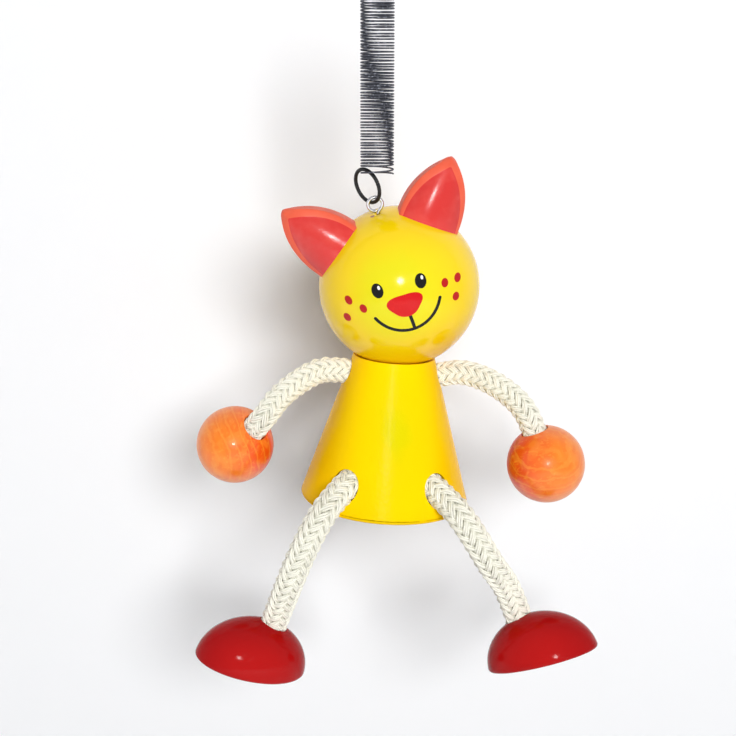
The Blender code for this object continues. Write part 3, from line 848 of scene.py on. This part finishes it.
def drilled(piece, holes):
    """Bores the piece at each (start, direction, radius, length), and keeps the cut mesh."""
    drills = []
    for start, way, radius, length in holes:
        bm = bmesh.new()
        turn = up.rotation_difference(way).to_matrix().to_4x4()
        place = Matrix.Translation(start) @ turn @ Matrix.Translation((0, 0, length / 2))
        bmesh.ops.create_cone(
            bm,
            cap_ends=True,
            segments=DRILL_SIDES,
            radius1=radius,
            radius2=radius,
            depth=length,
            matrix=place,
        )
        drill = new_object("drill", mesh_of("drill", bm))
        cut = piece.modifiers.new("bore", "BOOLEAN")
        cut.object = drill
        drills.append(drill)
    bpy.context.view_layer.update()
    depsgraph = bpy.context.evaluated_depsgraph_get()
    mesh = bpy.data.meshes.new_from_object(piece.evaluated_get(depsgraph))
    mesh.set_sharp_from_angle(angle=SHARP)
    piece.modifiers.clear()
    piece.data = mesh
    for drill in drills:
        bpy.data.objects.remove(drill)


def limb_bore(angle, height, tilt):
    """The mouth of a limb's bore in the body and the way out of it, at an angle from +X."""
    out = Vector((cos(angle), sin(angle), 0))
    mouth = body_frame @ (out * side_radius(height) + up * height)
    return mouth, (body_axes @ (out * cos(tilt) + up * sin(tilt))).normalized()


limb_bores = {}
leg_starts = {}
for side_name, angle in (("left", pi), ("right", 0)):
    limb_bores[side_name + "_arm"] = limb_bore(angle, BODY_HEIGHT - SHOULDER_DROP, SHOULDER_TILT)
for side_name, side in (("left", -1), ("right", 1)):
    turn = -pi / 2 + side * HIP_ANGLE
    limb_bores[side_name + "_leg"] = limb_bore(turn, HIP_RISE - HIP_DROP, HIP_TILT)
    leg_starts[side_name + "_leg"] = limb_bore(turn, HIP_RISE, HIP_TILT)[0]

yellow_body, *_ = lacquer(
    "yellow_lacquer_body",
    "yellow_lacquer_body",
    body_base,
    body_axes,
    (PAINTED_LIGHT_DULL_LEMON, YELLOW, PAINTED_SHADE_YELLOW),
    BODY_PAINTED_SHADE,
    BODY_GLOSS,
    BODY_PAINTED_LIGHT,
)
cone = finished("turned_body_cone", spun(cone_outline()), yellow_body, body_frame)
hole_radius = CORD_RADIUS + SNUG
holes = []
for name, (mouth, way) in limb_bores.items():
    deep = CORD_IN_BODY + CLEARANCE
    wide = hole_radius * (LEG_FULL if "leg" in name else ARM_FULL)
    holes.append((mouth - way * deep, way, wide, deep + 3 * CORD_RADIUS))
drilled(cone, holes)
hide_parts("body_cone")
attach(cone, "torso")


# Neck cord
# A short end of braided cotton cord, glued into the head and the body, out of sight between them.
# The braid has eight carriers each way, two over and two under, with three yarns on each.
NECK_RADIUS = 0.0018
NECK_DEPTH = 0.006  # in the head, and the same in the body
NECK_STEPS = 60
CARRIERS = 8
YARNS = 3
YARN_CIRCLE = 0.85  # radius at which the yarns share out their room, in cord radii
STRAND_APART = 1.7  # between the yarns of a carrier, in yarn rooms
LAY = 2.7  # length of one turn of a carrier, in cord diameters
CROSSING_STEPS = 4
YARN_FILL = 0.5  # radius of a yarn, as a share of its room in the braid
OVER_UNDER = 1.35  # how far a carrier rises and sinks, in yarn radii
PLUMP = 0.6  # how far its middle yarn stands out, in yarn radii
LOOSE = 0.25  # how unevenly the yarns lie, in yarn radii
LOOSE_TURNS = 23
LOOSE_APART = 2.4  # between the carriers, so that they aren't loose in the same places
CORE_UNDER = 4.6  # how far the core lies under the cord's surface, in yarn radii
COTTON = (0.86, 0.845, 0.73, 1)
COTTON_PAINTED_LIGHT = (0.93, 0.92, 0.83, 1)
COTTON_PAINTED_SHADE = (0.40, 0.39, 0.29, 1)
PAINTED_SHADE_CORE = (0.30, 0.29, 0.23, 1)


def cord_frames(points):
    """Each point with the cord's way there, a side that doesn't twist, and the length of cord up
    to it."""
    found = []
    side = None
    gone = 0
    for a, b in zip(points, points[1:]):
        way = (b - a).normalized()
        if side is None:
            side = way.orthogonal().normalized()
        side = (side - way * side.dot(way)).normalized()
        found.append((a, way, side, gone))
        gone += (b - a).length
    found.append((points[-1], way, side, gone))
    return found


def braid(frames, radius):
    """The yarns of a braided cord, each as the points of its middle, and their radius. The middle
    yarn of a carrier stands out, so that each plait is plump. How far raised each point is comes
    with them, from 0 to 1."""
    lay = LAY * 2 * radius
    around = 2 * pi * radius * YARN_CIRCLE
    lean = cos(atan(around / lay))
    yarn = around / CARRIERS / YARNS * lean * YARN_FILL
    swing = yarn * OVER_UNDER
    middle = radius - yarn * (1 + PLUMP) - swing
    lines = []
    raised = []
    for way_round in (1, -1):
        for carrier in range(CARRIERS):
            for strand in range(YARNS):
                aside = strand - (YARNS - 1) / 2
                shifted = carrier + aside * YARN_FILL / YARNS * STRAND_APART
                plump = yarn * PLUMP * (1 - abs(aside))
                line = []
                for place, way, side, gone in frames:
                    crossing = 2 * CARRIERS * gone / lay
                    if way_round > 0:
                        phase = crossing + carrier + shifted - 0.5
                    else:
                        phase = carrier + shifted - crossing - 2.5
                    over = cos(pi / 2 * phase)
                    raised.append((over + 1 - abs(aside)) / 2)
                    angle = 2 * pi * (way_round * gone / lay + shifted / CARRIERS)
                    out = side * cos(angle) + way.cross(side) * sin(angle)
                    wander = LOOSE_TURNS * gone / lay + LOOSE_APART * carrier + strand
                    loose = yarn * LOOSE * sin(wander)
                    line.append(place + out * (middle + swing * over + plump + loose))
                lines.append(line)
    return lines, yarn, raised


cotton = Finish("cotton_yarn", "cotton_cord", Sheen_Weight=0.2, Sheen_Roughness=0.5)
soft = cotton.noise(0.0035, 3.0)
fibre = cotton.noise(0.0003, 3.0)
lint = cotton.noise(0.0009, 2.0)
# Painted shade and light: sunk yarns are coloured darker and raised ones paler.
raised = cotton.marked("raised")
cotton.surface(
    fibre,
    0.00006,
    Base_Color=cotton.mix(
        cotton.step(raised + lint * 0.9 + fibre * 0.5 - 0.7, -0.1, 0.5),
        cotton.mix(soft, COTTON_PAINTED_SHADE, COTTON),
        cotton.mix(soft, COTTON, COTTON_PAINTED_LIGHT),
    ),
    Roughness=0.82 + 0.12 * fibre,
)
# The core is coloured dark as painted shade, seen in the gaps between the yarns.
core_painted_shade = Finish("cotton_core_painted_shade", "cotton_cord")
packed = core_painted_shade.noise(0.0006, 3.0)
core_painted_shade.surface(
    packed,
    0.00005,
    Base_Color=core_painted_shade.mix(packed, PAINTED_SHADE_CORE, COTTON_PAINTED_SHADE),
    Roughness=0.9 + 0.05 * packed,
)


def braided(name, frames, radius):
    """A braided cord and its core."""
    lines, yarn, raised = braid(frames, radius)
    cord = swept(name, lines, yarn, cotton, 1, raised)
    middle = [place for place, *_ in frames]
    core = swept(name + "_core", [middle], radius - CORE_UNDER * yarn, core_painted_shade)
    return cord, core


neck_top = head_centre - body_up * (HEAD_RADIUS - NECK_DEPTH)
neck_length = 2 * NECK_DEPTH + CLEARANCE
neck_route = [neck_top - body_up * neck_length * n / NECK_STEPS for n in range(NECK_STEPS + 1)]
for piece in braided("neck_braid", cord_frames(neck_route), NECK_RADIUS):
    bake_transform(piece)
    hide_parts("neck_cord")


# Arms
# Soft cotton cord, seven millimetres thick, braided like the neck's. Each arm is glued into the
# body and the hand, and is made in two lengths that meet in its middle.
CORD_IN_HAND = 0.0065
CORD_SHOWN_INSIDE = 0.006  # how far the modelled cord reaches into a bore
INSIDE_STEPS = 6
LEFT_ARM = [(-0.0072, -0.001, 0.0002), (-0.0136, -0.0034, -0.0025), (-0.0188, -0.0062, -0.0064)]
LEFT_ARM += [(-0.0227, -0.0084, -0.0110), (-0.0255, -0.0071, -0.0147)]
LEFT_ARM_END = (-0.634, 0.451, -0.628)
RIGHT_ARM = [(0.0062, -0.001, 0.0011), (0.0131, -0.003, -0.0005), (0.0194, -0.0052, -0.0041)]
RIGHT_ARM += [(0.0240, -0.0072, -0.0086), (0.0268, -0.0080, -0.0141)]
RIGHT_ARM_END = (0.335, -0.05, -0.94)


def smooth_route(points, step):
    """Points about a step apart on a smooth curve through the points given."""
    padded = [2 * points[0] - points[1], *points, 2 * points[-1] - points[-2]]
    found = [points[0]]
    for before, start, end, after in zip(padded, padded[1:], padded[2:], padded[3:]):
        count = max(1, round((end - start).length / step))
        for n in range(1, count + 1):
            t = n / count
            slope_in = (end - before) / 2
            slope_out = (after - start) / 2
            point = start * (1 + 2 * t) * (1 - t) ** 2 + end * t * t * (3 - 2 * t)
            point = point + slope_in * t * (1 - t) ** 2 + slope_out * t * t * (t - 1)
            found.append(point)
    return found


def make_limb(name, offsets, end_way, bend_body, end_body, bend_joint):
    """A cord from the body to a hand or a foot, in two lengths that meet at its middle joint."""
    mouth, out = limb_bores[name]
    start = leg_starts.get(name, mouth)
    full = CORD_RADIUS * (LEG_FULL if name in leg_starts else ARM_FULL)
    route = [mouth] + [start + Vector(offset) for offset in offsets]
    step = LAY * 2 * full / (2 * CARRIERS) / CROSSING_STEPS
    steps = INSIDE_STEPS
    inside = [mouth - out * CORD_SHOWN_INSIDE * (1 - n / steps) for n in range(steps)]
    beyond = [route[-1] + end_way * CORD_SHOWN_INSIDE * n / steps for n in range(1, steps + 1)]
    frames = cord_frames(inside + smooth_route(route, step) + beyond)
    bend = joint_at(bend_joint)
    split = min(range(len(frames)), key=lambda n: (frames[n][0] - bend).length)
    upper = braided(name + "_upper", frames[: split + 1], full)
    lower = braided(name + "_lower", frames[split:], full)
    for piece in upper:
        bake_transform(piece)
    for piece in lower:
        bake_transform(piece)
    for piece in upper + lower:
        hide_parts(name + "_cord")
    return route[-1]


arm_ends = {}
arms = (("left", LEFT_ARM, LEFT_ARM_END), ("right", RIGHT_ARM, RIGHT_ARM_END))
for side_name, offsets, way in arms:
    end_way = Vector(way).normalized()
    bodies = (side_name + "_arm", side_name + "_palm", side_name + "_elbow")
    mouth = make_limb(side_name + "_arm", offsets, end_way, *bodies)
    arm_ends[side_name] = (mouth, end_way)


# Hands
# Small beech balls with a blind bore for the arm. They are stained orange under clear lacquer, so
# the growth rings and the short rays of the beech show through.
HAND_RADIUS = 0.011
HAND_LIP = 0.0003
STAIN = (0.90, 0.21, 0.007, 1)
STAIN_LIGHT = (0.93, 0.32, 0.035, 1)
STAIN_DARK = (0.78, 0.12, 0.004, 1)
# painted reflection: redder on the side towards the body
PAINTED_REFLECTION_RED = (0.82, 0.055, 0.004, 1)
LOG_HEART = (0.016, 0.010, 0)  # from the ball's middle, along its own grain
GRAIN_LEAN = {
    "left": (radians(35), radians(20), 0),
    "right": (radians(-25), radians(40), radians(30)),
}


def stained_beech(name, centre, lean):
    """Beech from beside the heart of a log, so that its growth rings pass as wide arcs."""
    finish = Finish(name, "orange_stain", Coat_Weight=0.25, Coat_Roughness=0.08)
    turn = Matrix.Rotation(lean[2], 3, "Z") @ Matrix.Rotation(lean[1], 3, "Y")
    turn = turn @ Matrix.Rotation(lean[0], 3, "X")
    own = finish.turned(centre + turn @ Vector(LOG_HEART), turn)
    drift = finish.noise(0.007, 2.0)
    rings = finish.node(
        "TexWave",
        {"wave_type": "RINGS", "rings_direction": "Z"},
        {"Vector": own, "Scale": 130, "Distortion": 3.5, "Detail": 3, "Detail Scale": 1.4},
        1,
    )
    rays = finish.noise(0.0007, 2.0, finish.turned(centre, turn, (1, 3.5, 1)), 0.4)
    blotch = finish.step(finish.noise(0.0035, 4.0, own, 0.6), 0.45, 0.65)
    # Painted reflection: the side towards the body is redder, for the warm light that the yellow
    # body throws on it.
    inwards = 1 if centre.x < 0 else -1
    across = (finish.part(finish.place, 0) - centre.x) * inwards + drift * 0.006
    tone = finish.mix(finish.step(across, -0.001, 0.014), STAIN, PAINTED_REFLECTION_RED)
    tone = finish.mix(finish.step(rings, 0.1, 0.5) * 0.25, tone, STAIN_DARK)
    tone = finish.mix(finish.step(rings, 0.86, 0.98) * 0.4, tone, STAIN_LIGHT)
    tone = finish.mix(blotch * 0.4 + finish.step(rays, 0.57, 0.68) * 0.35, tone, STAIN_LIGHT)
    finish.surface(
        rays * 0.6 + rings * 0.4,
        0.000012,
        Base_Color=tone,
        Roughness=0.28 + 0.15 * drift,
    )
    return finish


for side_name, (mouth, way) in arm_ends.items():
    centre = mouth + way * sqrt(HAND_RADIUS**2 - hole_radius**2)
    outline = bored_ball(HAND_RADIUS, hole_radius * ARM_FULL, CORD_IN_HAND, HAND_LIP)
    wood = stained_beech(f"orange_beech_{side_name}", centre, GRAIN_LEAN[side_name])
    turn = up.rotation_difference(-way).to_matrix().to_4x4()
    hand_frame = Matrix.Translation(centre) @ turn
    hand = finished(f"{side_name}_hand_ball", spun(outline), wood, hand_frame)
    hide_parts(side_name + "_hand")
    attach(hand, side_name + "_palm")


# Legs
# The same braided cord. The legs leave the front of the cone low down, and each is glued into its
# foot behind the middle.
FOOT_ROLL = radians(17)  # the toe is held up
FOOT_TURN = radians(18)  # the toe is turned to the viewer
FOOT_PITCH = {"left": 0, "right": radians(-17)}
LEFT_LEG = [(-0.0057, -0.0064, -0.0062), (-0.0109, -0.0082, -0.0156), (-0.0149, -0.0072, -0.025)]
LEFT_LEG += [(-0.0180, -0.0040, -0.0340), (-0.0202, -0.0020, -0.0405)]
RIGHT_LEG = [(0.0052, -0.0062, -0.0050), (0.0099, -0.0084, -0.0114), (0.0145, -0.0080, -0.0192)]
RIGHT_LEG += [(0.0194, -0.0036, -0.0278), (0.0235, -0.0020, -0.0379)]

leg_ends = {}
for side_name, side, offsets in (("left", -1, LEFT_LEG), ("right", 1, RIGHT_LEG)):
    foot_axes = Matrix.Rotation(-side * FOOT_ROLL, 3, "Y")
    foot_axes = foot_axes @ Matrix.Rotation(FOOT_PITCH[side_name], 3, "X")
    foot_axes = foot_axes @ Matrix.Rotation(-side * FOOT_TURN, 3, "Z")
    bodies = (side_name + "_leg", side_name + "_shoe", side_name + "_knee")
    mouth = make_limb(side_name + "_leg", offsets, foot_axes @ -up, *bodies)
    leg_ends[side_name] = (mouth, foot_axes)


# Feet
# Half eggs of beech with a flat sole, dipped in deep red lacquer that has set to a hard gloss.
# Each is bored from its top, behind the middle, and the leg is glued into it.
FOOT_LENGTH = 0.0322
FOOT_WIDTH = 0.0228
FOOT_HEIGHT = 0.0132
FOOT_TAPER = 0.05  # share by which the heel is wider, and the toe narrower, than the middle
FOOT_EDGE = 0.0008
FOOT_BORE_BACK = 0.0039  # from the middle of the foot towards the heel
FOOT_BORE_AWAY = 0.0012  # from the middle of the foot towards the back of the toy
CORD_IN_FOOT = 0.007
FOOT_ROWS = 48
FOOT_EDGE_ROWS = 6
SOLE_ROWS = 12
DEEP_RED = (0.37, 0.004, 0.005, 1)
# painted light: lighter red round the front of each foot; painted shade: darker red at its sides
# and sole
PAINTED_LIGHT_RED = (0.45, 0.006, 0.006, 1)
PAINTED_SHADE_RED = (0.32, 0.003, 0.004, 1)
FOOT_PAINTED_LIGHT = ((0, -0.012, 0.004), (1.5, 1, 1), (0.003, 0.014))
FOOT_PAINTED_SHADE = (-0.004, 0.002)
FOOT_GLOSS = (0.09, 0.06, 0.00001)


def foot_outline():
    """The half egg's outline as (share of its half length, height), from its top."""
    dome = pi / 2 - asin(FOOT_EDGE / FOOT_HEIGHT)
    round_off = FOOT_EDGE / (FOOT_LENGTH / 2)
    points = []
    for angle in spread(0, dome, FOOT_ROWS):
        points.append((sin(angle), FOOT_HEIGHT * cos(angle)))
    wide = points[-1][0]
    for angle in spread(0, pi / 2, FOOT_EDGE_ROWS)[1:]:
        points.append((wide - round_off * (1 - cos(angle)), FOOT_EDGE * (1 - sin(angle))))
    wide = points[-1][0]
    for n in range(1, SOLE_ROWS + 1):
        points.append((wide * (1 - n / SOLE_ROWS), 0))
    return points


def dome_height(x, y, side):
    """Height of the foot over its sole, at a place measured from the middle of the sole."""
    share = 2 * x / FOOT_LENGTH
    wide = FOOT_WIDTH / 2 * (1 - side * FOOT_TAPER * share)
    return FOOT_HEIGHT * sqrt(1 - share**2 - (y / wide) ** 2)


for side_name, side in (("left", -1), ("right", 1)):
    mouth, foot_axes = leg_ends[side_name]
    x, y = -side * FOOT_BORE_BACK, FOOT_BORE_AWAY
    sole = mouth - foot_axes @ Vector((x, y, dome_height(x, y, side)))
    bm = spun(foot_outline())
    for v in bm.verts:
        v.co.y *= FOOT_WIDTH / 2 * (1 - side * FOOT_TAPER * v.co.x)
        v.co.x *= FOOT_LENGTH / 2
    red, *_ = lacquer(
        f"deep_red_lacquer_{side_name}",
        "red_lacquer_feet",
        sole,
        foot_axes,
        (PAINTED_LIGHT_RED, DEEP_RED, PAINTED_SHADE_RED),
        FOOT_PAINTED_SHADE,
        FOOT_GLOSS,
        FOOT_PAINTED_LIGHT,
    )
    foot_frame = Matrix.Translation(sole) @ foot_axes.to_4x4()
    foot = finished(f"{side_name}_half_egg_foot", bm, red, foot_frame)
    down = foot_axes @ -up
    wide = hole_radius * LEG_FULL
    drilled(foot, [(mouth + down * CORD_IN_FOOT, -down, wide, CORD_IN_FOOT + FOOT_HEIGHT)])
    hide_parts(side_name + "_foot")
    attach(foot, side_name + "_shoe")


# Stage
# A white card close behind the toy takes its soft shadow, over a pale floor. The card and the
# floor can't be seen from behind, so that they hide nothing in other views. Two softboxes and a
# weak fill light the toy, in a white room that lights it hardly at all.
CARD_AT = 0.085  # behind the hook
CARD_SIZE = 3.0
FLOOR_AT = -0.34  # below the hook
CARD_WHITE = (0.89, 0.9, 0.92, 1)
CARD_BOUNCE = 0.865  # how white it is to the light that it throws on the toy
FLOOR_BOUNCE = 0.45
CARD_GLOW = 0.015  # what is seen of it beside the light on it
FLOOR_GLOW = 0.7
ROOM_LIGHT = 0.015
TOY_MIDDLE = (0.008, 0, -0.11)


def seen_or_mirrored(nodes):
    """1 for what the camera sees, also in a mirror or through glass, and 0 for bounced light."""
    seen = nodes.node("LightPath", output="Is Camera Ray")
    for ray in ("Glossy", "Transmission"):
        other = nodes.node("LightPath", output=f"Is {ray} Ray")
        seen = nodes.node("Math", {"operation": "MAXIMUM"}, {0: seen, 1: other})
    return seen


def stage_plane(name, matrix, bounce, glow_level):
    """A pale plane. It is seen and mirrored white, and its bounced light is weaker."""
    finish = Finish(name, "", Specular_IOR_Level=0)
    seen = seen_or_mirrored(finish)
    finish.surface(
        Base_Color=finish.mix(seen, (bounce, bounce, bounce, 1), CARD_WHITE),
        Roughness=0.9 + 0.05 * finish.noise(0.01),
    )
    glow = finish.node("Emission", {}, {"Color": (1, 1, 1, 1), "Strength": seen * glow_level})
    lit = finish.node("AddShader", {}, {0: Value(finish, finish.shader.outputs[0]), 1: glow})
    behind = finish.node("NewGeometry", output="Backfacing")
    clear = finish.node("BsdfTransparent")
    shown = finish.node("MixShader", {}, {0: behind, 1: lit, 2: clear})
    finish.feed(finish.tree.nodes["Material Output"], {"Surface": shown})
    bm = bmesh.new()
    bmesh.ops.create_grid(bm, x_segments=1, y_segments=1, size=CARD_SIZE / 2, matrix=matrix)
    plane = new_object(name, mesh_of(name, bm))
    plane.data.materials.append(finish.material)


upright = Matrix.Translation((0, CARD_AT, 0)) @ Matrix.Rotation(pi / 2, 4, "X")
stage_plane("back_card", upright, CARD_BOUNCE, CARD_GLOW)
stage_plane("floor", Matrix.Translation((0, 0, FLOOR_AT)), FLOOR_BOUNCE, FLOOR_GLOW)


def lamp(name, place, size, power, mirrored):
    """A round soft lamp, turned to the toy. The lacquer may mirror it or not."""
    light = bpy.data.lights.new(name, "AREA")
    light.shape = "DISK"
    light.size = size
    light.energy = power
    stand = new_object(name, light)
    stand.location = place
    way = Vector(TOY_MIDDLE) - Vector(place)
    stand.rotation_euler = way.to_track_quat("-Z", "Y").to_euler()
    stand.visible_glossy = mirrored


lamp("softbox_over_camera", (0.008, -1.373, 0.324), 0.18, 4.2, mirrored=True)
lamp("right_softbox", (0.338, -1.32, 0.359), 0.5, 17.6, mirrored=False)
lamp("left_side_fill", (-0.9, -0.08, -0.03), 0.5, 1.7, mirrored=False)

world = bpy.data.worlds.new("white_room")
bpy.context.scene.world = world
world.use_nodes = True
room = Nodes(world.node_tree)
level = {"Value": seen_or_mirrored(room), "To_Min": ROOM_LIGHT, "To_Max": 1.0}
white = {"Color": (1, 1, 1, 1), "Strength": room.node("MapRange", {}, level)}
room.feed(world.node_tree.nodes["Background"], white)
